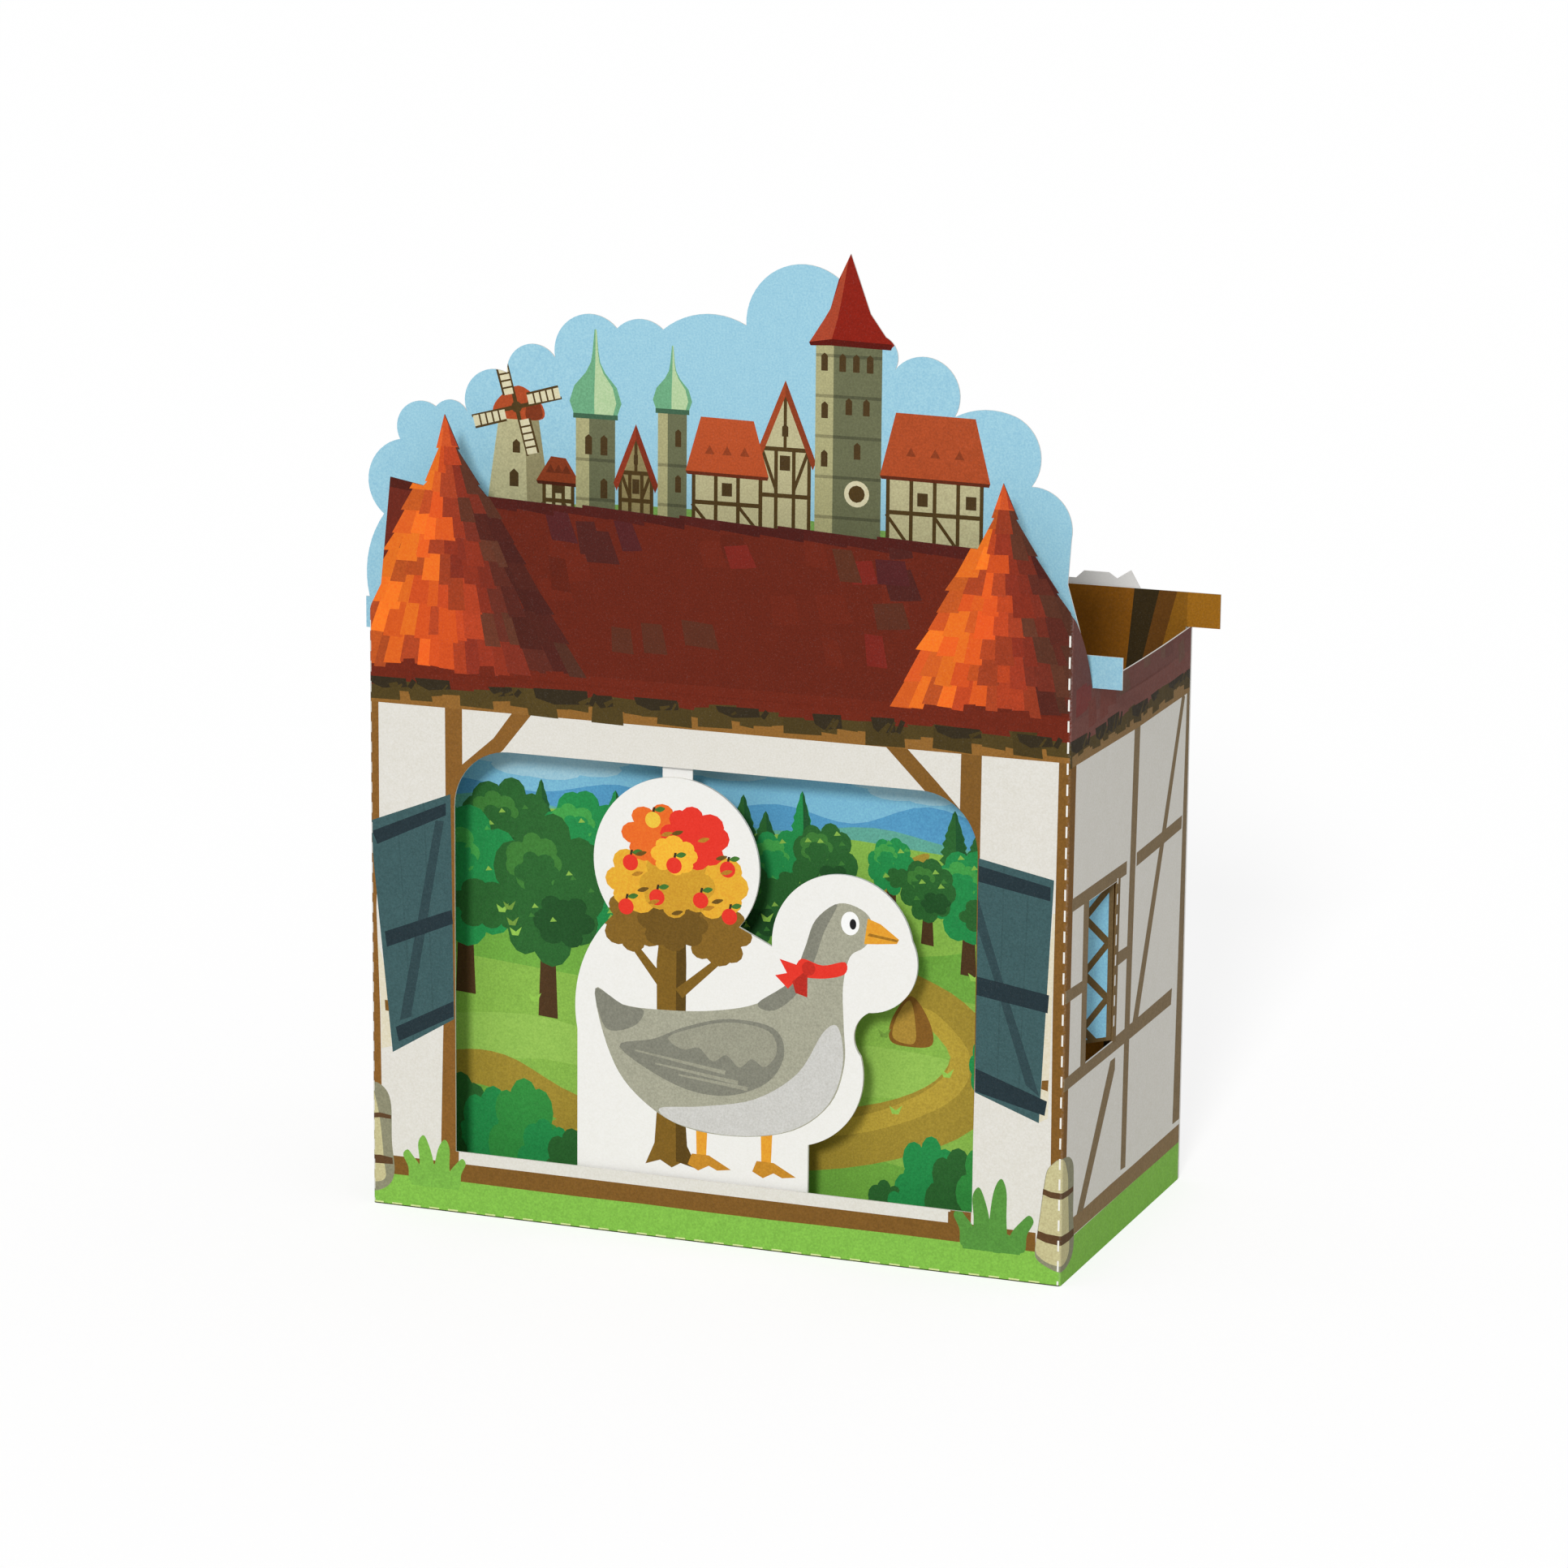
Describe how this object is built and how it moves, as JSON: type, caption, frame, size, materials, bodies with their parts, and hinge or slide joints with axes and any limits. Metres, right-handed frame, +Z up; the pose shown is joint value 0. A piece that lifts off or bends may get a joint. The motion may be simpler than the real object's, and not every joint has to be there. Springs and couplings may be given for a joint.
{
  "type": "toy theatre",
  "caption": "Table-top toy theatre of folded printed card: a box with a stage window, turrets, drop-in scene cards, side window flaps and a puppet on a strip.",
  "frame": {"origin": "middle of the bounding box's base, on the surface that the box stands on", "axes": "+Z up, +Y from the stage window to the back, +X to the right of someone who faces the stage"},
  "size_m": [0.141, 0.07, 0.1749],
  "materials": {
    "printed_front": "offset print on smooth white card, uncoated, matt",
    "printed_side": "offset print on smooth white card, uncoated, matt",
    "printed_sky": "offset print on smooth white card, uncoated, matt",
    "printed_interior": "offset print on smooth white card, uncoated, matt",
    "printed_puppet": "offset print on smooth white card, uncoated, matt",
    "bare_card": "unprinted inner face of the card, matt"
  },
  "bodies": {
    "theatre_box": {"front_panel": "printed_front", "left_side_panel": "printed_side", "right_side_panel": "printed_side", "back_panel": "printed_side", "floor_panel": "bare_card", "left_rear_tab": "bare_card", "right_rear_tab": "bare_card", "floor_left_tab": "bare_card", "floor_right_tab": "bare_card", "floor_rear_tab": "bare_card"},
    "sky_scene": {"sky_card": "printed_sky"},
    "interior_scene": {"interior_card": "printed_interior"},
    "puppet": {"puppet_front_card": "printed_puppet", "puppet_back_card": "printed_puppet", "puppet_strip": "bare_card"},
    "left_flap": {"left_window_flap": "printed_side"},
    "right_flap": {"right_window_flap": "printed_side"}
  },
  "joints": [
    {"name": "sky_scene_lift", "type": "slide", "parent": "theatre_box", "child": "sky_scene", "axis": [0, 0, 1], "range_m": [0, 0.15]},
    {"name": "interior_scene_lift", "type": "slide", "parent": "theatre_box", "child": "interior_scene", "axis": [0, 0, 1], "range_m": [0, 0.12]},
    {"name": "puppet_lift", "type": "slide", "parent": "theatre_box", "child": "puppet", "axis": [0, 0, 1], "range_m": [0, 0.15]},
    {"name": "left_flap_hinge", "type": "hinge", "parent": "theatre_box", "child": "left_flap", "pos_m": [-0.06455, -0.0079, 0.0513], "axis": [0, 0, 1], "range_deg": [-40, 125]},
    {"name": "right_flap_hinge", "type": "hinge", "parent": "theatre_box", "child": "right_flap", "pos_m": [0.06455, -0.0079, 0.0513], "axis": [0, 0, -1], "range_deg": [-40, 125]}
  ]
}
